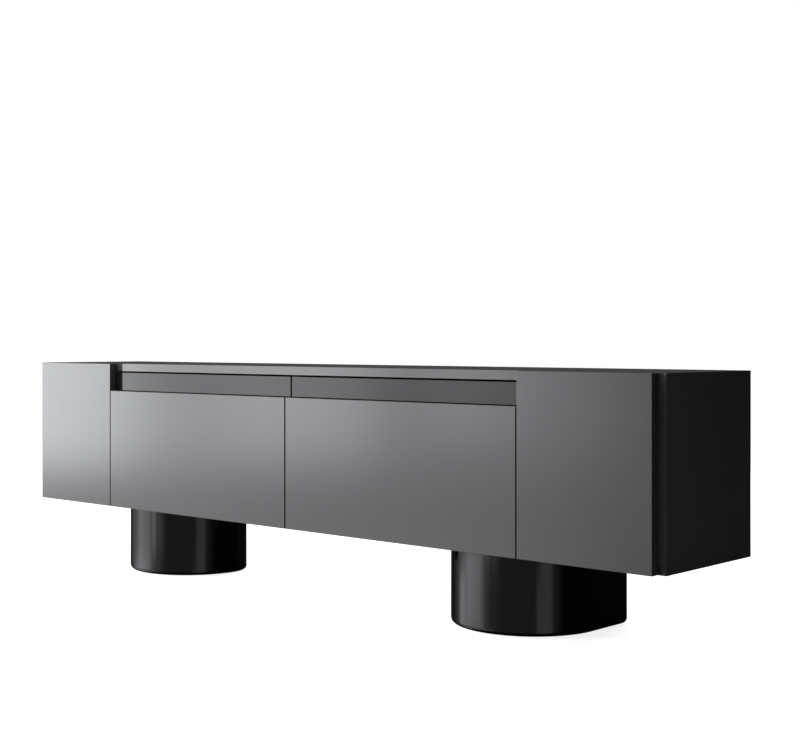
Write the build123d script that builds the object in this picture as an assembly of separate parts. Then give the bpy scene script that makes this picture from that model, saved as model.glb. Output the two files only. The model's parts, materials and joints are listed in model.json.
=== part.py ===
"""Long low dresser: mitred lacquered case, two end doors, two upper and two lower drawers, two drum feet.

Millimetres. +X is the viewer's right, +Y the back, +Z up. The origin is on the floor, in the middle of
the footprint. Every sub-part is written to parts/NAME.step at its rest place, doors and drawers closed.
"""
import math
import os

from build123d import *

# ---------------------------------------------------------------- driving dimensions
# overall case
case_width = 2600.0
case_height = 486.0
board = 25.0               # top, bottom and side boards of the case
edge_round = 1.0           # eased edges of the lacquered fronts

# fronts
front_thick = 24.0
front_air = 2.5            # from the back of a front to the front edges of the case
front_gap = 3.5            # joint between a door and its neighbour
lower_centre_gap = 4.5     # joint between the two lower fronts
door_width = 405.5
door_overlap = 1.5         # the doors pass over the front edges of the side boards by this much
recess_height = 67.0       # from the top of the lower fronts up to the top board
drawer_pass = 1.0          # the upper fronts pass over the lower ones by this much
upper_front_thick = 19.0
upper_top_gap = 5.0        # shadow gap under the top
upper_side_gap = 2.0
upper_centre_gap = 5.5

# inner boards
divider_thick = 25.0
centre_divider_thick = 22.0
deck_thick = 18.0
deck_drop = 8.0            # deck top below the top of the lower fronts
back_thick = 8.0
back_inset = 8.0
shelf_thick = 18.0
shelf_over_arm = 2.0       # shelf pins above the flange of a hinge arm at mid height
shelf_setback = 30.0
shelf_play = 1.0
pin_radius = 2.5
pin_out = 9.0              # how far a shelf pin stands out of its board
pin_in = 10.0              # how far it goes in
pin_setback = 60.0
pin_clear = 0.05
seat_gap = 0.3             # clearance under pieces that rest on round parts

# door hinges: a rod in the door's outer edge turns in three arms on the side board
hinge_side = 6.5           # rod axis inward from the door's outer edge
hinge_depth = 9.5          # rod axis forward from the door's back face
rod_radius = 2.0
rod_margin = 8.0           # rod ends below and above the door's edges
rod_bore_clear = 0.05
door_swing = 95.0          # degrees that a door opens
arm_thick = 2.5
arm_half_width = 4.5
arm_root = 12.0            # length of the arm's root on its flange
arm_slot_clear = 0.5
arm_inset = 70.0           # first and last arm from the door's ends
arm_count = 3
flange_thick = 3.0
arm_flange_length = 42.0
arm_flange_height = 30.0
arm_flange_setback = 7.5   # flange begins this far behind the case front

# push-to-open latches
latch_width = 14.0
latch_length = 62.0
latch_drop = 40.0          # centre below the top board
latch_start = 4.0          # housing begins this far behind the case front
plunger_radius = 3.5
plunger_clear = 0.05
plunger_reach = 45.0       # plunger length inside the housing

# telescopic runners
runner_length = 350.0
runner_setback = 6.0       # behind the case front, or behind an upper front
runner_back_room = 24.5    # behind the upper runners, up to the back panels
runner_thick = 12.7        # between the bay's wall and the drawer's side
rail_wall = 1.4
member_wall = 1.2
member_clear = 0.4         # between the nested members, above and below
web_gap = 0.6              # between their webs, and to the next one's lips
rail_lip_room = 3.7        # the rail's lips end this far from the drawer's side
middle_lip_room = 1.7      # and those of the intermediate member this far
lower_runner_height = 45.0
upper_runner_height = 27.0

# drawer boxes
box_wall = 12.0
box_bottom = 6.0
box_groove = 4.0           # the bottom sits in the sides by this much
box_groove_up = 8.0        # bottom's underside above the sides' lower edge
box_back_room = 30.0       # behind the boxes
lower_box_lift = 22.0      # box above the bottom board
lower_head_room = 71.0     # above it, under the deck
upper_head_room = 16.0     # above an upper box, under the top board

# feet
foot_height = 219.0
glide_height = 2.0
glide_radius = 20.0
glide_inset = 50.0         # glide centres inside the foot's round outline
foot_end_inset = 357.0     # outer flank from the end of the case
foot_front_inset = 32.0    # behind the front plane
foot_radius = 218.0        # of the round front
foot_inner_radius = 106.0  # rounding towards the middle of the case
foot_tip_radius = 50.0     # rounding of the outer back corner
foot_wall = 18.0
foot_floor = 12.0
foot_bottom_round = 14.0
foot_ledge = 8.0           # width of the ledge that carries the top plate
plate_thick = 10.0
plate_clear = 0.3
bolt_radius = 4.0
bolt_clear = 0.3
bolt_head_radius = 8.0
bolt_head_height = 4.0
bolt_half_spacing = 95.0   # bolts to each side of the round front's centre
bolt_forward = 95.0        # front pair ahead of that centre
bolt_rearward = 60.0       # rear pair behind it

# ---------------------------------------------------------------- derived places
case_depth = upper_front_thick + runner_setback + runner_length + runner_back_room + back_thick + back_inset
overall_depth = front_thick + front_air + case_depth
front_plane = -overall_depth / 2
front_back = front_plane + front_thick          # back faces of doors and lower fronts
case_front = front_back + front_air             # front edges of the case
case_back = overall_depth / 2
back_front = case_back - back_inset - back_thick
case_bottom = foot_height
case_top = foot_height + case_height
inner_bottom = case_bottom + board
inner_top = case_top - board
half_width = case_width / 2
inner_half = half_width - board                 # inner faces of the side boards
door_outer = inner_half + door_overlap
door_inner = door_outer - door_width
rod_out = door_outer - hinge_side               # hinge rod axes, out from the middle
divider_mid = door_inner - front_gap / 2
divider_in = divider_mid - divider_thick / 2
divider_out = divider_mid + divider_thick / 2
lower_front_top = inner_top - recess_height
lower_front_out = door_inner - front_gap
deck_top = lower_front_top - deck_drop
deck_bottom = deck_top - deck_thick
upper_front_bottom = lower_front_top + drawer_pass
upper_front_top = inner_top - upper_top_gap
upper_front_out = divider_in - upper_side_gap
upper_front_back = case_front + upper_front_thick
centre_half = centre_divider_thick / 2
foot_centre_x = half_width - foot_end_inset - foot_radius
foot_centre_y = front_plane + foot_front_inset + foot_radius
foot_tip_y = case_back - foot_tip_radius  # the foot ends flush with the back
foot_bottom = glide_height
arm_mid_z = (case_bottom + case_top) / 2
pin_z = arm_mid_z + arm_flange_height / 2 + shelf_over_arm + pin_radius
shelf_z = pin_z + pin_radius + seat_gap
hinge_y = front_back - hinge_depth
latch_z = inner_top - latch_drop

NODES = {}


def keep(name, shape):
    """Stores one finished sub-part under its node name."""
    NODES[name] = shape


def block(x0, x1, y0, y1, z0, z1):
    """A box between two corners, in any order along x."""
    low_x, high_x = min(x0, x1), max(x0, x1)
    size = (high_x - low_x, y1 - y0, z1 - z0)
    return Pos((low_x + high_x) / 2, (y0 + y1) / 2, (z0 + z1) / 2) * Box(*size)


def rod(x, y, z0, z1, radius):
    """An upright cylinder."""
    return Pos(x, y, (z0 + z1) / 2) * Cylinder(radius, z1 - z0)


def rod_along_x(x0, x1, y, z, radius):
    """A cylinder along X."""
    return Pos((x0 + x1) / 2, y, z) * Rot(0, 90, 0) * Cylinder(radius, abs(x1 - x0))


def rod_along_y(x, y0, y1, z, radius):
    """A cylinder along Y."""
    return Pos(x, (y0 + y1) / 2, z) * Rot(90, 0, 0) * Cylinder(radius, y1 - y0)


def eased(shape):
    """Rounds every edge of a lacquered front."""
    return fillet(shape.edges(), edge_round)


def along_depth(points):
    """A board whose outline lies in the XZ plane, running from the case's front edges to its back."""
    wire = Polyline(*[Vector(x, case_front, z) for x, z in points], close=True)
    return extrude(make_face(wire), amount=case_back - case_front, dir=(0, 1, 0))


# ---------------------------------------------------------------- case
def bolt_places(side):
    """The four bolts of one foot."""
    x_mid = side * foot_centre_x
    x_steps = (-bolt_half_spacing, bolt_half_spacing)
    y_steps = (-bolt_forward, bolt_rearward)
    return [(x_mid + dx, foot_centre_y + dy) for dx in x_steps for dy in y_steps]


def shelf_pin_places(side):
    """Pin axes of one bay: (board face x, direction into the bay, y)."""
    y_places = (case_front + shelf_setback + pin_setback, back_front - pin_setback)
    outer = [(side * inner_half, -side, y) for y in y_places]
    inner = [(side * divider_out, side, y) for y in y_places]
    return outer, inner


def pin_holes(places):
    """The blind holes of some shelf pins."""
    radius = pin_radius + pin_clear
    return [rod_along_x(face, face - inward * pin_in, y, pin_z, radius) for face, inward, y in places]


def make_case():
    w, b = half_width, board
    z0, z1 = case_bottom, case_top
    keep("top_panel", along_depth([(-w, z1), (w, z1), (w - b, z1 - b), (-w + b, z1 - b)]))
    bottom = along_depth([(-w, z0), (w, z0), (w - b, z0 + b), (-w + b, z0 + b)])
    for side in (-1, 1):
        for x, y in bolt_places(side):
            bottom -= rod(x, y, z0, z0 + b, bolt_radius + bolt_clear)
    keep("bottom_panel", bottom)
    for side, name in ((-1, "left"), (1, "right")):
        outline = [(side * w, z0), (side * w, z1), (side * (w - b), z1 - b), (side * (w - b), z0 + b)]
        panel = along_depth(outline)
        outer_pins, inner_pins = shelf_pin_places(side)
        for hole in pin_holes(outer_pins):
            panel -= hole
        keep(f"side_panel_{name}", panel)
        divider = block(side * divider_in, side * divider_out, case_front, back_front, inner_bottom, inner_top)
        for hole in pin_holes(inner_pins):
            divider -= hole
        keep(f"divider_{name}", divider)
    keep("deck", block(-divider_in, divider_in, case_front, back_front, deck_bottom, deck_top))
    keep("centre_divider", block(-centre_half, centre_half, case_front, back_front, inner_bottom, deck_bottom))
    upper_start = upper_front_back + seat_gap
    keep("upper_centre_divider", block(-centre_half, centre_half, upper_start, back_front, deck_top, inner_top))


def make_backs():
    y0, y1 = back_front, back_front + back_thick
    keep("back_panel_left", block(-inner_half, -divider_mid, y0, y1, inner_bottom, inner_top))
    keep("back_panel_centre", block(-divider_mid, divider_mid, y0, y1, inner_bottom, inner_top))
    keep("back_panel_right", block(divider_mid, inner_half, y0, y1, inner_bottom, inner_top))


def make_shelves():
    pins = []
    for side, name in ((-1, "left"), (1, "right")):
        x0 = side * (divider_out + shelf_play)
        x1 = side * (inner_half - shelf_play)
        y0 = case_front + shelf_setback
        keep(f"shelf_{name}", block(x0, x1, y0, back_front - shelf_play, shelf_z, shelf_z + shelf_thick))
        outer_pins, inner_pins = shelf_pin_places(side)
        for face, inward, y in outer_pins + inner_pins:
            pins.append(rod_along_x(face - inward * pin_in, face + inward * pin_out, y, pin_z, pin_radius))
    keep("shelf_pins", Compound(children=pins))


# ---------------------------------------------------------------- doors
def arm_levels():
    """Heights of the hinge arms' mid planes."""
    low = case_bottom + arm_inset
    step = (case_height - 2 * arm_inset) / (arm_count - 1)
    return [low + step * i for i in range(arm_count)]


def hinge_arm(side, z):
    """One hinge arm: a flange on the side board and a flat tongue that the door's rod passes through."""
    face = side * inner_half
    rod_x = side * rod_out
    flange_y0 = case_front + arm_flange_setback
    z0, z1 = z - arm_thick / 2, z + arm_thick / 2
    flange = block(face, face - side * flange_thick, flange_y0, flange_y0 + arm_flange_length,
                   z - arm_flange_height / 2, z + arm_flange_height / 2)
    root_end = rod_x - side * arm_half_width
    root = block(face, root_end, flange_y0, flange_y0 + arm_root, z0, z1)
    tongue = block(rod_x - arm_half_width, rod_x + arm_half_width, hinge_y, flange_y0 + arm_root, z0, z1)
    nose = rod(rod_x, hinge_y, z0, z1, arm_half_width)
    bore = rod(rod_x, hinge_y, z0, z1, rod_radius + rod_bore_clear)
    return flange + root + tongue + nose - bore


def make_door(side, name):
    rod_x = side * rod_out
    door = eased(block(side * door_outer, side * door_inner, front_plane, front_back, case_bottom, case_top))
    slot_half = arm_thick / 2 + arm_slot_clear
    slot_in = rod_x - side * (arm_half_width + arm_slot_clear)
    slot_out = side * (door_outer + arm_slot_clear)
    past_square = math.radians(door_swing - 90)
    arm_reach = arm_half_width / math.cos(past_square) + hinge_side * math.tan(past_square)
    slot_front = hinge_y - arm_reach - arm_slot_clear
    for z in arm_levels():
        door -= block(slot_out, slot_in, slot_front, front_back, z - slot_half, z + slot_half)
    rod_low, rod_high = case_bottom + rod_margin, case_top - rod_margin
    door -= rod(rod_x, hinge_y, case_bottom - rod_margin, rod_high, rod_radius + rod_bore_clear)
    keep(f"door_{name}", door)
    keep(f"hinge_rod_{name}", rod(rod_x, hinge_y, rod_low, rod_high, rod_radius))
    keep(f"hinge_arms_{name}", Compound(children=[hinge_arm(side, z) for z in arm_levels()]))


def make_latches():
    housings = []
    for side, name in ((-1, "left"), (1, "right")):
        face = side * divider_out
        x_mid = face + side * latch_width / 2
        y0 = case_front + latch_start
        housing = block(face, face + side * latch_width, y0, y0 + latch_length,
                        latch_z - latch_width / 2, latch_z + latch_width / 2)
        bore_end = y0 + plunger_reach + seat_gap
        housing -= rod_along_y(x_mid, y0 - latch_start, bore_end, latch_z, plunger_radius + plunger_clear)
        housings.append(housing)
        tip = front_back + seat_gap
        keep(f"latch_plunger_{name}", rod_along_y(x_mid, tip, y0 + plunger_reach, latch_z, plunger_radius))
    keep("latch_bodies", Compound(children=housings))


# ---------------------------------------------------------------- runners
def channel(face, inward, t_web, t_open, height, wall, y0, z):
    """A channel along Y: its web at t_web and its lips reaching t_open, both measured inward from a wall."""
    web_far = t_web + wall if t_open > t_web else t_web - wall
    half = height / 2
    y1 = y0 + runner_length
    web = block(face + inward * t_web, face + inward * web_far, y0, y1, z - half, z + half)
    lip_top = block(face + inward * t_web, face + inward * t_open, y0, y1, z + half - wall, z + half)
    lip_bottom = block(face + inward * t_web, face + inward * t_open, y0, y1, z - half, z - half + wall)
    return web + lip_top + lip_bottom


def runner(face, inward, height, y0, z):
    """The cabinet rail, intermediate member and drawer member of one telescopic runner."""
    rail = channel(face, inward, 0.0, runner_thick - rail_lip_room, height, rail_wall, y0, z)
    middle_web = rail_wall + web_gap
    middle_lips = runner_thick - middle_lip_room
    middle_height = height - 2 * (rail_wall + member_clear)
    middle = channel(face, inward, middle_web, middle_lips, middle_height, member_wall, y0, z)
    inner_lips = middle_web + member_wall + web_gap
    inner_height = middle_height - 2 * (member_wall + member_clear)
    inner = channel(face, inward, runner_thick, inner_lips, inner_height, member_wall, y0, z)
    return rail, middle, inner


# ---------------------------------------------------------------- drawers
def drawer_box(name, x0, x1, y0, z0, z1):
    """Sides, back and grooved bottom of a box whose front is the lacquered front itself."""
    y1 = back_front - box_back_room
    bottom_z = z0 + box_groove_up
    slot = block(x0 + box_wall - box_groove, x1 - box_wall + box_groove, y0, y1 - box_wall + box_groove,
                 bottom_z, bottom_z + box_bottom)
    keep(f"{name}_side_left", block(x0, x0 + box_wall, y0, y1, z0, z1) - slot)
    keep(f"{name}_side_right", block(x1 - box_wall, x1, y0, y1, z0, z1) - slot)
    keep(f"{name}_back", block(x0 + box_wall, x1 - box_wall, y1 - box_wall, y1, z0, z1) - slot)
    keep(f"{name}_bottom", slot)


def make_drawer(side, level):
    """One drawer with its two runners. Returns the two cabinet rails."""
    hand = "left" if side < 0 else "right"
    name = f"{level}_drawer_{hand}"
    bay_in, bay_out = side * centre_half, side * divider_in
    low_face, high_face = min(bay_in, bay_out), max(bay_in, bay_out)
    x0, x1 = low_face + runner_thick, high_face - runner_thick
    if level == "lower":
        front = block(side * lower_centre_gap / 2, side * lower_front_out, front_plane, front_back,
                      case_bottom, lower_front_top)
        box_y0, runner_y0, runner_height = front_back, case_front + runner_setback, lower_runner_height
        box_z0, box_z1 = inner_bottom + lower_box_lift, deck_bottom - lower_head_room
    else:
        front = block(side * upper_centre_gap / 2, side * upper_front_out, case_front, upper_front_back,
                      upper_front_bottom, upper_front_top)
        box_y0, runner_y0, runner_height = upper_front_back, upper_front_back + runner_setback, upper_runner_height
        box_z0, box_z1 = upper_front_bottom, inner_top - upper_head_room
    keep(f"{name}_front", eased(front))
    drawer_box(name, x0, x1, box_y0, box_z0, box_z1)
    runner_z = (box_z0 + box_z1) / 2
    left_set = runner(low_face, 1, runner_height, runner_y0, runner_z)
    right_set = runner(high_face, -1, runner_height, runner_y0, runner_z)
    keep(f"{level}_runner_middle_{hand}", Compound(children=[left_set[1], right_set[1]]))
    keep(f"{level}_runner_inner_{hand}", Compound(children=[left_set[2], right_set[2]]))
    return [left_set[0], right_set[0]]


def make_drawers():
    for level in ("upper", "lower"):
        rails = make_drawer(-1, level) + make_drawer(1, level)
        keep(f"{level}_runner_rails", Compound(children=rails))


# ---------------------------------------------------------------- feet
def foot_plan(side, inset):
    """The foot's outline, drawn in by an inset: round in front and towards the middle, a tip at the outer back."""
    r = foot_radius - inset
    inner_r = foot_inner_radius - inset
    tip_r = foot_tip_radius - inset
    inner_mid = Vector(foot_radius - foot_inner_radius, 0)
    tip_mid = Vector(foot_tip_radius - foot_radius, foot_tip_y - foot_centre_y)
    run = tip_mid - inner_mid
    lean = math.atan2(run.Y, run.X) - math.acos((tip_r - inner_r) / run.length)
    normal = Vector(math.cos(lean), math.sin(lean))
    flank_top = Vector(-r, tip_mid.Y)
    halfway = Vector(math.cos(lean / 2), math.sin(lean / 2))
    outward = (math.pi + lean) / 2
    tip_way = Vector(math.cos(outward), math.sin(outward))
    edges = [
        ThreePointArc(Vector(-r, 0), Vector(0, -r), Vector(r, 0)),
        ThreePointArc(Vector(r, 0), inner_mid + halfway * inner_r, inner_mid + normal * inner_r),
        Line(inner_mid + normal * inner_r, tip_mid + normal * tip_r),
        ThreePointArc(tip_mid + normal * tip_r, tip_mid + tip_way * tip_r, flank_top),
        Line(flank_top, Vector(-r, 0)),
    ]
    outline = make_face(edges)
    if side > 0:
        outline = mirror(outline, Plane.YZ)
    return Pos(side * foot_centre_x, foot_centre_y, 0) * outline


def foot_slab(side, inset, z0, z1):
    """The foot's outline as a solid between two heights."""
    return extrude(Pos(0, 0, z0) * foot_plan(side, inset), amount=z1 - z0, dir=(0, 0, 1))


def glide_places(side):
    """Three glides: under the round front, under the rounding towards the middle, and under the tip."""
    diagonal = (foot_inner_radius - glide_inset) * math.cos(math.pi / 4)
    toward_middle = [0, foot_radius - foot_inner_radius + diagonal, foot_tip_radius - foot_radius]
    back = [glide_inset - foot_radius, diagonal, foot_tip_y - foot_centre_y]
    return [(side * (foot_centre_x - dx), foot_centre_y + dy) for dx, dy in zip(toward_middle, back)]


def make_foot(side, name):
    shell = foot_slab(side, 0, foot_bottom, foot_height)
    floor_edges = shell.edges().group_by(Axis.Z)[0]
    shell = fillet(floor_edges, foot_bottom_round)
    shell -= foot_slab(side, foot_wall, foot_bottom + foot_floor, foot_height)
    shell -= foot_slab(side, foot_wall - foot_ledge, foot_height - plate_thick, foot_height)
    keep(f"foot_shell_{name}", shell)
    plate = foot_slab(side, foot_wall - foot_ledge + plate_clear, foot_height - plate_thick, foot_height)
    for x, y in bolt_places(side):
        plate -= rod(x, y, foot_height - plate_thick, foot_height, bolt_radius + pin_clear)
    keep(f"foot_plate_{name}", plate)


def make_foot_hardware():
    bolts = []
    glides = []
    for side in (-1, 1):
        for x, y in bolt_places(side):
            shank = rod(x, y, foot_height - plate_thick, inner_bottom, bolt_radius)
            head = rod(x, y, inner_bottom, inner_bottom + bolt_head_height, bolt_head_radius)
            bolts.append(shank + head)
        for x, y in glide_places(side):
            glides.append(rod(x, y, 0, foot_bottom, glide_radius))
    keep("foot_bolts", Compound(children=bolts))
    keep("floor_glides", Compound(children=glides))


make_case()
make_backs()
make_shelves()
make_door(-1, "left")
make_door(1, "right")
make_latches()
make_drawers()
make_foot(-1, "left")
make_foot(1, "right")
make_foot_hardware()

os.makedirs("parts", exist_ok=True)
for node_name, node_shape in NODES.items():
    export_step(node_shape, f"parts/{node_name}.step")
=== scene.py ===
"""Looks for the long low dresser: finishes on case, fronts, fittings and feet, the studio and the camera."""
import json
import math

import bmesh
import bpy
from mathutils import Matrix, Vector


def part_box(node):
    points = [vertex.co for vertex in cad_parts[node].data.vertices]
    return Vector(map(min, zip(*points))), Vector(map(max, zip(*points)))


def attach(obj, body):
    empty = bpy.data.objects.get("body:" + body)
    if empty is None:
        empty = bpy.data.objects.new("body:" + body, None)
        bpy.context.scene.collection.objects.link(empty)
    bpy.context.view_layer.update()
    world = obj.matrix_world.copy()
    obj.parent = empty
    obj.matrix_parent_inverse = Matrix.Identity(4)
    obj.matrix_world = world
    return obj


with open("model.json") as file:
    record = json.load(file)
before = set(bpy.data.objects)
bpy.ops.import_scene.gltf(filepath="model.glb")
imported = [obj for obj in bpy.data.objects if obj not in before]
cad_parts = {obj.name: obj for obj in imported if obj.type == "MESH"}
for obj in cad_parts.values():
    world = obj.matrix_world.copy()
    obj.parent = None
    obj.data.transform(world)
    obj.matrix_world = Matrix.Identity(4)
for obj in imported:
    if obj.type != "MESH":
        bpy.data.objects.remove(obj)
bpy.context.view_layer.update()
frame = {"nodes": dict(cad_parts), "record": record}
NODES = frame["nodes"]
SIDES = ((-1, "left"), (1, "right"))
DRAWERS = [f"{level}_drawer_{hand}" for level in ("upper", "lower") for _, hand in SIDES]

WHITE = (1.0, 1.0, 1.0, 1.0)
COOL = 1.02                       # blue against red and green in the neutral colours


# ---------------------------------------------------------------- shader helpers
class Field:
    """A shader socket that can be used in arithmetic."""

    def __init__(self, tree, socket):
        self.tree = tree
        self.socket = socket

    def maths(self, operation, *terms):
        return self.tree.node("ShaderNodeMath", {"operation": operation}, dict(enumerate(terms)))

    def __add__(self, other):
        return self.maths("ADD", self, other)

    def __radd__(self, other):
        return self.maths("ADD", other, self)

    def __sub__(self, other):
        return self.maths("SUBTRACT", self, other)

    def __rsub__(self, other):
        return self.maths("SUBTRACT", other, self)

    def __mul__(self, other):
        return self.maths("MULTIPLY", self, other)

    def __rmul__(self, other):
        return self.maths("MULTIPLY", other, self)

    def beside(self, *names):
        """The named sockets of the node that this one comes from."""
        outputs = self.socket.node.outputs
        return [Field(self.tree, outputs[name]) for name in names]


class Tree:
    """A material's or the world's nodes. Every node is made by one method."""

    def __init__(self, node_tree):
        self.nodes = node_tree.nodes
        self.links = node_tree.links
        self.nodes.clear()

    def node(self, kind, settings=None, sockets=None, out=0):
        made = self.nodes.new(kind)
        for name, setting in (settings or {}).items():
            setattr(made, name, setting)
        for name, given in (sockets or {}).items():
            if isinstance(given, Field):
                self.links.new(given.socket, made.inputs[name])
            else:
                made.inputs[name].default_value = given
        return Field(self, made.outputs[out]) if made.outputs else None

    def place(self):
        """Object coordinates, in metres."""
        return self.node("ShaderNodeTexCoord", out="Object")

    def noise(self, scale, detail, stretch=(1.0, 1.0, 1.0)):
        """Fine noise from 0 to 1, drawn out along an axis where stretch is small."""
        where = self.node("ShaderNodeMapping", {}, {"Vector": self.place(), "Scale": stretch})
        return self.node("ShaderNodeTexNoise", {}, {"Vector": where, "Scale": scale, "Detail": detail})

    def between(self, mask, low, high):
        """A colour between two colours."""
        return self.node("ShaderNodeMix", {"data_type": "RGBA"}, {0: mask, 6: low, 7: high}, out=2)

    def shades(self, mask, level, low, high):
        """A neutral colour that wanders from low to high times its level."""
        return self.between(mask, rgb(level * low), rgb(level * high))

    def ramp(self, value, start, end, smooth=False):
        """0 below start, 1 above end, and between them a straight or a smooth rise."""
        settings = {"interpolation_type": "SMOOTHSTEP"} if smooth else {}
        return self.node("ShaderNodeMapRange", settings, {"Value": value, "From Min": start, "From Max": end})

    def bump(self, height, depth):
        return self.node("ShaderNodeBump", {}, {"Height": height, "Distance": depth})


def rgb(level):
    """A neutral colour, a touch cool."""
    return (level, level, level * COOL, 1.0)


def new_material(name, sockets, constants):
    """A Principled material. sockets(tree) gives what varies; constants are set on the shader itself."""
    material = bpy.data.materials.new(name)
    material.use_nodes = True
    tree = Tree(material.node_tree)
    given = dict(constants)
    given.update(sockets(tree))
    shader = tree.node("ShaderNodeBsdfPrincipled", {}, given)
    tree.node("ShaderNodeOutputMaterial", {}, {"Surface": shader})
    return material


# ---------------------------------------------------------------- finishes
LACQUER_GREY = 0.040              # level of the grey lacquer on the case and the fronts
LACQUER_SHEEN = 0.5
GLOSS_IOR = 1.5                   # of both lacquers and of the polish on the feet
PEEL_DEPTH = 0.0000025            # of the orange peel in a sprayed coat
EDGE_SKIN = 0.0002                # a board's front edge ends this far behind its foremost point
EDGE_FADE = 0.0005                # and its matt surface fades out over this depth


def lacquer_coat(tree, level):
    """A sprayed satin coat: even colour, a faint orange peel and slight changes of sheen."""
    cloud = tree.noise(3.0, 3.0)
    peel = tree.noise(900.0, 1.0)
    return {
        "Base Color": tree.shades(cloud, level, 0.97, 1.03),
        "Roughness": 0.105 + cloud * 0.02,
        "Normal": tree.bump(peel, PEEL_DEPTH),
    }


def satin_lacquer(name, level, sheen):
    """The satin lacquer of the case and the fronts."""
    return new_material(name, lambda tree: lacquer_coat(tree, level),
                        {"IOR": GLOSS_IOR, "Specular IOR Level": sheen})


def side_lacquer(name, level, edge_y):
    """The satin lacquer of the side boards, whose front edges, up to edge_y, are left matt."""
    def sockets(tree):
        coat = lacquer_coat(tree, level)
        depth = tree.node("ShaderNodeSeparateXYZ", {}, {"Vector": tree.place()}, out="Y")
        matt = 1.0 - tree.ramp(depth, edge_y, edge_y + EDGE_FADE)
        coat["Base Color"] = tree.between(matt, coat["Base Color"], rgb(level * 1.1))
        coat["Roughness"] = coat["Roughness"] + matt * 0.6
        return coat
    return new_material(name, sockets, {"IOR": GLOSS_IOR, "Specular IOR Level": LACQUER_SHEEN})


def gloss_lacquer(name, level):
    """Polished black lacquer of the drum feet, with a few soft marks of wiping."""
    def sockets(tree):
        wipe = tree.noise(7.0, 4.0, (1.0, 1.0, 0.3))
        return {
            "Base Color": tree.shades(wipe, level, 0.9, 1.1),
            "Roughness": 0.05 + wipe * 0.05,
        }
    return new_material(name, sockets, {"IOR": GLOSS_IOR})


def matte_board(name, level):
    """Melamine-faced board with its fine pearl texture."""
    def sockets(tree):
        pearl = tree.noise(1400.0, 2.0)
        cloud = tree.noise(5.0, 2.0)
        return {
            "Base Color": tree.shades(cloud, level, 0.92, 1.08),
            "Roughness": 0.5 + pearl * 0.2,
            "Normal": tree.bump(pearl, 0.00002),
        }
    return new_material(name, sockets, {"IOR": 1.45})


def drawn_steel(name, level, roughness):
    """Cold-rolled zinc-plated steel, drawn along the runners."""
    def sockets(tree):
        draw = tree.noise(500.0, 3.0, (1.0, 0.02, 1.0))
        cloud = tree.noise(20.0, 3.0)
        return {
            "Base Color": tree.shades(cloud, level, 0.88, 1.08),
            "Roughness": roughness + draw * 0.12,
            "Normal": tree.bump(draw, 0.00001),
        }
    return new_material(name, sockets, {"Metallic": 1.0})


def moulded_plastic(name, level):
    """Matte moulded plastic with a fine spark-eroded grain."""
    def sockets(tree):
        grain = tree.noise(2500.0, 1.0)
        return {
            "Base Color": tree.shades(grain, level, 0.9, 1.1),
            "Roughness": 0.45 + grain * 0.15,
            "Normal": tree.bump(grain, 0.00001),
        }
    return new_material(name, sockets, {"IOR": 1.46})


# Every finish: how it is made, its level, and its sheen or roughness.
RECIPES = {
    "grey_lacquer": (satin_lacquer, LACQUER_GREY, LACQUER_SHEEN),
    "dark_lacquer": (satin_lacquer, 0.008, 0.26),
    "black_interior": (matte_board, 0.010),
    "drawer_board": (matte_board, 0.040),
    "runner_steel": (drawn_steel, 0.55, 0.28),
    "hinge_steel": (drawn_steel, 0.50, 0.22),
    "plate_steel": (drawn_steel, 0.10, 0.40),
    "black_gloss": (gloss_lacquer, 0.002),
    "black_plastic": (moulded_plastic, 0.020),
}
FINISHES = {name: make(name, *values) for name, (make, *values) in RECIPES.items()}


def paint(node_name, material):
    """Gives every slot of a node one finish."""
    for slot in NODES[node_name].material_slots:
        slot.material = material


for entry in frame["record"]["subparts"]:
    paint(entry["node"], FINISHES[entry["material_slot"]])
for _, hand in SIDES:
    side_board = f"side_panel_{hand}"
    paint(side_board, side_lacquer(side_board, LACQUER_GREY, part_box(side_board)[0][1] + EDGE_SKIN))


# ---------------------------------------------------------------- small fittings
# Radius and height of the screws' heads, in metres.
HINGE_SCREW = (0.0036, 0.0016)
LATCH_SCREW = (0.0030, 0.0012)
RAIL_SCREW = (0.0042, 0.0004)
BRACKET_SCREW = (0.0034, 0.0014)
BACK_SCREW = (0.0038, 0.0018)


def hang(bm, name, body, finish):
    """Turns a fitting's faces outward, gives it its finish and hangs it on its body."""
    bmesh.ops.recalc_face_normals(bm, faces=bm.faces)
    mesh = bpy.data.meshes.new(name)
    bm.to_mesh(mesh)
    bm.free()
    mesh.materials.append(FINISHES[finish])
    piece = bpy.data.objects.new(name, mesh)
    bpy.context.scene.collection.objects.link(piece)
    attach(piece, body)


def ease(bm, edges, width, segments):
    """Rounds edges over."""
    bmesh.ops.bevel(bm, geom=list(edges), offset=width, offset_type="OFFSET", segments=segments, profile=0.5,
                    affect="EDGES", material=-1)


def add_stud(bm, seat, outward, radius, crown_radius, height, sides):
    """A short round stud standing on a surface. Returns its crown face."""
    outward = Vector(outward)
    turn = outward.to_track_quat("Z", "Y").to_matrix().to_4x4()
    place = Matrix.Translation(Vector(seat) + outward * height / 2) @ turn
    made = bmesh.ops.create_cone(bm, cap_ends=True, segments=sides, radius1=radius, radius2=crown_radius,
                                 depth=height, matrix=place)
    faces = [face for vert in made["verts"] for face in vert.link_faces]
    return max(faces, key=lambda face: face.calc_center_median().dot(outward))


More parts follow.
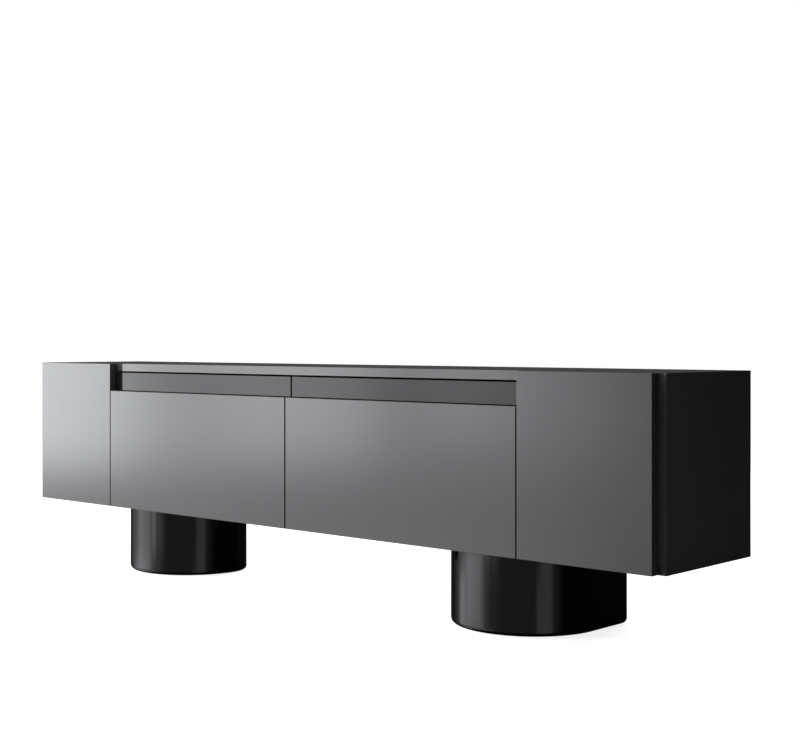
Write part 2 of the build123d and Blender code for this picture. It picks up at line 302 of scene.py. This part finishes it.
def add_screw(bm, seat, outward, head):
    """A pan head with a six-lobed recess, which always turns the same way."""
    crown_share, land_share, lobe_share, recess_share = 0.78, 0.3, 0.62, 0.6
    radius, height = head
    crown = add_stud(bm, seat, outward, radius, radius * crown_share, height, 12)
    bmesh.ops.inset_region(bm, faces=[crown], thickness=radius * land_share)
    middle = crown.calc_center_median()
    rim = list(crown.verts)
    foremost = max(range(len(rim)), key=lambda index: [round(length, 6) for length in rim[index].co])
    for vert in rim[foremost % 2::2]:
        vert.co = middle.lerp(vert.co, lobe_share)
    recess = bmesh.ops.extrude_discrete_faces(bm, faces=[crown])["faces"][0]
    bmesh.ops.translate(bm, verts=recess.verts, vec=Vector(outward) * (height * -recess_share))


def add_bumper(bm, seat, outward):
    """A soft domed bumper dot."""
    crown = add_stud(bm, seat, outward, radius=0.0040, crown_radius=0.0038, height=0.0018, sides=20)
    ease(bm, crown.edges, 0.0014, 4)


def add_bracket(bm, corner, inward, z_mid):
    """A bent steel angle in the inner corner between a drawer's front and its side."""
    leg, thick, half_height, eased = 0.026, 0.0018, 0.010, 0.0005
    middle = leg * 0.66
    x, y = corner
    outline = [(0, 0), (leg, 0), (leg, thick), (thick, thick), (thick, leg), (0, leg)]
    ring = [bm.verts.new((x + inward * dx, y + dy, z_mid - half_height)) for dx, dy in outline]
    risen = bmesh.ops.extrude_face_region(bm, geom=[bm.faces.new(ring)])["geom"]
    top = [part for part in risen if isinstance(part, bmesh.types.BMVert)]
    bmesh.ops.translate(bm, verts=top, vec=(0, 0, half_height * 2))
    ease(bm, dict.fromkeys(edge for vert in ring + top for edge in vert.link_edges), eased, 2)
    add_screw(bm, (x + inward * middle, y + thick, z_mid), (0, 1, 0), BRACKET_SCREW)
    add_screw(bm, (x + inward * thick, y + middle, z_mid), (inward, 0, 0), BRACKET_SCREW)


def make_hinge_screws():
    """Two screws in the flange of every hinge arm."""
    flange_half_height, flange_thick = 0.015, 0.003
    from_flange_end, from_arm = 0.011, 0.0085
    for side, hand in SIDES:
        low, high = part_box(f"hinge_arms_{hand}")
        wall = max(abs(low[0]), abs(high[0]))
        seat_x, seat_y = side * (wall - flange_thick), high[1] - from_flange_end
        bm = bmesh.new()
        for arm_z in (low[2] + flange_half_height, (low[2] + high[2]) / 2, high[2] - flange_half_height):
            for lift in (-from_arm, from_arm):
                add_screw(bm, (seat_x, seat_y, arm_z + lift), (-side, 0, 0), HINGE_SCREW)
        hang(bm, f"hinge_screws_{hand}", "carcass", "hinge_steel")


def make_latch_screws():
    """One screw at the back of each latch housing."""
    from_back_end = 0.0065
    low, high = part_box("latch_bodies")
    seat_y, seat_z = high[1] - from_back_end, (low[2] + high[2]) / 2
    bm = bmesh.new()
    for side, _ in SIDES:
        add_screw(bm, (side * high[0], seat_y, seat_z), (side, 0, 0), LATCH_SCREW)
    hang(bm, "latch_screws", "carcass", "hinge_steel")


def make_rail_screws():
    """Flat screws that hold the cabinet rails to the dividers."""
    web = 0.0014
    along_rail = (0.037, 0.165, 0.293)
    for level in ("upper", "lower"):
        low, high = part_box(f"{level}_runner_rails")
        seat_z = (low[2] + high[2]) / 2
        inner_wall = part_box("centre_divider")[1][0]
        bm = bmesh.new()
        for side, _ in SIDES:
            for wall, inward in ((inner_wall, 1), (high[0], -1)):
                for along in along_rail:
                    seat = (side * (wall + inward * web), low[1] + along, seat_z)
                    add_screw(bm, seat, (side * inward, 0, 0), RAIL_SCREW)
        hang(bm, f"{level}_rail_screws", "carcass", "hinge_steel")


def make_drawer_brackets():
    """Steel angles that join each drawer's sides to its front: two to a side below, one above."""
    over_floor, under_rim = 0.035, 0.045
    for drawer in DRAWERS:
        y_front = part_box(f"{drawer}_front")[1][1]
        floor_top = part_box(f"{drawer}_bottom")[1][2]
        box_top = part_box(f"{drawer}_side_left")[1][2]
        if drawer.startswith("upper"):
            heights = ((floor_top + box_top) / 2,)
        else:
            heights = (floor_top + over_floor, box_top - under_rim)
        bm = bmesh.new()
        for z in heights:
            add_bracket(bm, (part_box(f"{drawer}_side_left")[1][0], y_front), 1, z)
            add_bracket(bm, (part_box(f"{drawer}_side_right")[0][0], y_front), -1, z)
        hang(bm, f"{drawer}_brackets", drawer, "hinge_steel")


def make_back_screws():
    """Screws that hold the back panels to the dividers and the deck behind them."""
    middle_heights = (0.29, 0.39, 0.49, 0.645)
    seam_heights = (0.275, 0.385, 0.495, 0.655)
    from_seam = 0.006
    along_deck = (0.14, 0.36, 0.58, 0.80)
    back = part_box("back_panel_centre")[1]
    deck_low, deck_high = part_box("deck")
    deck_z = (deck_low[2] + deck_high[2]) / 2
    places = [(0.0, z) for z in middle_heights]
    for side, _ in SIDES:
        seam = side * back[0]
        places += [(seam + step, z) for step in (-from_seam, from_seam) for z in seam_heights]
        places += [(side * x, deck_z) for x in along_deck]
    bm = bmesh.new()
    for x, z in places:
        add_screw(bm, (x, back[1], z), (0, 1, 0), BACK_SCREW)
    hang(bm, "back_screws", "carcass", "plate_steel")


def make_bumpers():
    """Soft dots on the backs of the doors and lower fronts, where they meet the dividers."""
    from_divider_face, over_lower_edge, under_upper_edge = 0.0055, 0.013, 0.015
    divider_in, divider_out = (corner[0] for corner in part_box("divider_right"))
    for side, hand in SIDES:
        door, drawer = f"door_{hand}", f"lower_drawer_{hand}"
        for body, front, x in ((door, door, divider_out - from_divider_face),
                               (drawer, f"{drawer}_front", divider_in + from_divider_face)):
            low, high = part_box(front)
            bm = bmesh.new()
            for z in (low[2] + over_lower_edge, high[2] - under_upper_edge):
                add_bumper(bm, (side * x, high[1], z), (0, 1, 0))
            hang(bm, f"{body}_bumpers", body, "black_plastic")


make_hinge_screws()
make_latch_screws()
make_rail_screws()
make_drawer_brackets()
make_back_screws()
make_bumpers()


# ---------------------------------------------------------------- studio
# Panels that gloss sees, in degrees: azimuths from -X towards the front, elevations,
# softness of the first side, of the second side and of the two elevations, strength.
STUDIO_PANELS = [
    # the bright bank at the left, which the doors and the other fronts mirror
    ((6, 37.1), (-5.1, 5), (1.3, 1.3, 0.8), 3.1),
    ((6, 46.8), (-5.1, 5), (1.2, 1.2, 1.3), 1.3),
    ((40.9, 46.8), (-4.7, 5), (1.1, 1.1, 1.4), 1.5),
    ((48.9, 52.4), (-4.0, 5), (1.0, 1.0, 1.4), 1.5),
    ((6, 57.6), (-4.9, 5), (3.0, 3.6, 2.2), 1.05),
    ((20, 57), (-9.3, 6), (13.0, 5.0, 0.5), 1.22),
    # its lower end, mirrored by the feet
    ((5, 57), (-11.8, -9.3), (5.0, 5.0, 2.4), 0.62),
    ((5, 57), (-40, -9.3), (5.0, 5.0, 0.5), 0.6),
    # its upper end, mirrored by what opens
    ((6, 50), (22, 50), (4.0, 4.0, 4.0), 1.6),
    # narrow strips low down, which show as bands in the feet
    ((24, 50.5), (-11.5, -8.75), (4.0, 2.0, 0.3), 0.55),
    ((11, 20), (-11.8, -8.9), (4.0, 5.0, 0.4), 0.4),
    ((58.8, 67.0), (-8.5, -5), (0.7, 1.8, 0.4), 1.2),
    ((60.5, 84), (-8.5, -5), (2.5, 8.0, 0.4), 0.3),
    # the dim room around the bank
    ((-2, 80), (-9.3, 80), (8.0, 8.0, 0.5), 0.25),
    ((-2, 66), (-40, -9.3), (8.0, 3.0, 0.5), 0.25),
    ((-14, 80), (-40, 80), (8.0, 8.0, 8.0), 0.10),
    # the front and the right, with one weak strip for the feet
    ((20, 170), (-40, 80), (10.0, 10.0, 8.0), 0.18),
    ((144, 160), (-40, 80), (3.0, 3.0, 8.0), 0.42),
    ((137.5, 144), (-40, -9.3), (3.0, 3.0, 0.6), 0.42),
    # behind the dresser: what the right end mirrors, then the left
    ((-127, -121), (-8.7, 12), (1.5, 2.0, 0.4), 0.06),
    ((-75, -25), (-10, 60), (8.0, 8.0, 8.0), 0.04),
    # overhead
    ((-200, 200), (55, 100), (8.0, 8.0, 10.0), 0.9),
]
ROOM_DARK = 0.01                  # what gloss sees between the panels
ROOM_LIGHT = 0.06                 # the low even light on everything
GLOSS_TINT = (0.985, 1.0, 1.03, 1.0)

# Soft lamps: place, aim, width and length, power.
SOFTBOXES = {
    "left_softbox": ((-3.2, -3.4, 2.4), (0, 0, 0.5), (2.4, 2.4), 330.0),
    "back_softbox": ((-0.8, 4.2, 2.2), (0, 0, 0.5), (2.6, 2.2), 260.0),
    "top_softbox": ((-0.6, -0.4, 3.4), (0, 0, 0.7), (3.0, 1.6), 150.0),
}

FLOOR_HALF_SIZE = 30.0
FLOOR_GREY = (0.35, 0.35, 0.35, 1.0)
FLOOR_GLOW = 0.85                 # near the dresser, so that its shadow shows
FLOOR_GLOW_RISE = 0.15            # added further away, up to white
FLOOR_GLOW_NEAR, FLOOR_GLOW_FAR = 1.5, 5.0

CAMERA_PLACE = (3.0711, -3.0981, 0.7788)
CAMERA_TURN = 42.162              # degrees from facing the back
SENSOR_WIDTH = 36.0
FOCAL_LENGTH = 62.95
CAMERA_SHIFT = -0.0411


def panel_mask(tree, azimuth, elevation, sides, levels, soft):
    """A soft-edged light panel: 1 between two azimuths and between two elevations, in degrees, 0 outside."""
    start, end, height = soft
    edges = ((azimuth, sides[0], start, True), (azimuth, sides[1], end, False),
             (elevation, levels[0], height, True), (elevation, levels[1], height, False))
    mask = 1.0
    for angle, edge, blur, rises in edges:
        step = tree.ramp(angle, edge - blur, edge + blur, smooth=True)
        mask = (step if rises else 1.0 - step) * mask
    return mask


def make_world():
    """White to the camera and through glass; gloss sees the studio's panels; the rest is a low even light."""
    world = bpy.data.worlds.new("studio")
    bpy.context.scene.world = world
    world.use_nodes = True
    tree = Tree(world.node_tree)
    way = tree.node("ShaderNodeTexCoord", out="Generated")
    x, y, z = tree.node("ShaderNodeSeparateXYZ", {}, {"Vector": way}).beside("X", "Y", "Z")
    azimuth = x.maths("ARCTAN2", 0.0 - y, 0.0 - x) * math.degrees(1)
    elevation = x.maths("ARCSINE", z) * math.degrees(1)
    panels = ROOM_DARK
    for sides, levels, soft, strength in STUDIO_PANELS:
        panels = panel_mask(tree, azimuth, elevation, sides, levels, soft) * strength + panels
    camera, glossy, through = tree.node("ShaderNodeLightPath").beside(
        "Is Camera Ray", "Is Glossy Ray", "Is Transmission Ray")
    clear = camera.maths("MAXIMUM", camera, through)
    strength = clear + (1.0 - clear) * (glossy * panels + (1.0 - glossy) * ROOM_LIGHT)
    tint = tree.between(clear, GLOSS_TINT, WHITE)
    background = tree.node("ShaderNodeBackground", {}, {"Color": tint, "Strength": strength})
    tree.node("ShaderNodeOutputWorld", {}, {"Surface": background})


def add_softbox(name, place, aim, size, power):
    """A rectangular lamp that lights without showing as a second highlight."""
    lamp = bpy.data.lights.new(name, "AREA")
    lamp.shape = "RECTANGLE"
    lamp.size, lamp.size_y = size
    lamp.energy = power
    softbox = bpy.data.objects.new(name, lamp)
    softbox.location = place
    softbox.rotation_euler = (Vector(aim) - Vector(place)).to_track_quat("-Z", "Y").to_euler()
    softbox.visible_glossy = False
    bpy.context.scene.collection.objects.link(softbox)


def make_floor():
    """A plain white floor that keeps the shadow under the dresser."""
    bm = bmesh.new()
    bmesh.ops.create_grid(bm, x_segments=1, y_segments=1, size=FLOOR_HALF_SIZE)
    mesh = bpy.data.meshes.new("floor")
    bm.to_mesh(mesh)
    bm.free()
    floor = bpy.data.objects.new("floor", mesh)
    bpy.context.scene.collection.objects.link(floor)
    floor_white = bpy.data.materials.new("floor_white")
    floor_white.use_nodes = True
    tree = Tree(floor_white.node_tree)
    matte = tree.node("ShaderNodeBsdfDiffuse", {}, {"Color": FLOOR_GREY})
    camera = tree.node("ShaderNodeLightPath", out="Is Camera Ray")
    away = tree.node("ShaderNodeVectorMath", {"operation": "LENGTH"}, {0: tree.place()}, out=1)
    far = tree.ramp(away, FLOOR_GLOW_NEAR, FLOOR_GLOW_FAR, smooth=True)
    strength = camera * (FLOOR_GLOW + far * FLOOR_GLOW_RISE)
    glow = tree.node("ShaderNodeEmission", {}, {"Color": WHITE, "Strength": strength})
    both = tree.node("ShaderNodeAddShader", {}, {0: matte, 1: glow})
    tree.node("ShaderNodeOutputMaterial", {}, {"Surface": both})
    mesh.materials.append(floor_white)
    floor.visible_glossy = False


def make_camera():
    """The camera stands level at the right front, a little above the top."""
    lens = bpy.data.cameras.new("camera")
    lens.sensor_width = SENSOR_WIDTH
    lens.lens = FOCAL_LENGTH
    lens.shift_y = CAMERA_SHIFT
    lens.clip_end = 100.0
    camera = bpy.data.objects.new("camera", lens)
    camera.location = CAMERA_PLACE
    camera.rotation_euler = (math.radians(90.0), 0.0, math.radians(CAMERA_TURN))
    bpy.context.scene.collection.objects.link(camera)
    bpy.context.scene.camera = camera


make_world()
for name, settings in SOFTBOXES.items():
    add_softbox(name, *settings)
make_floor()
make_camera()
bpy.context.scene.view_settings.view_transform = "Standard"
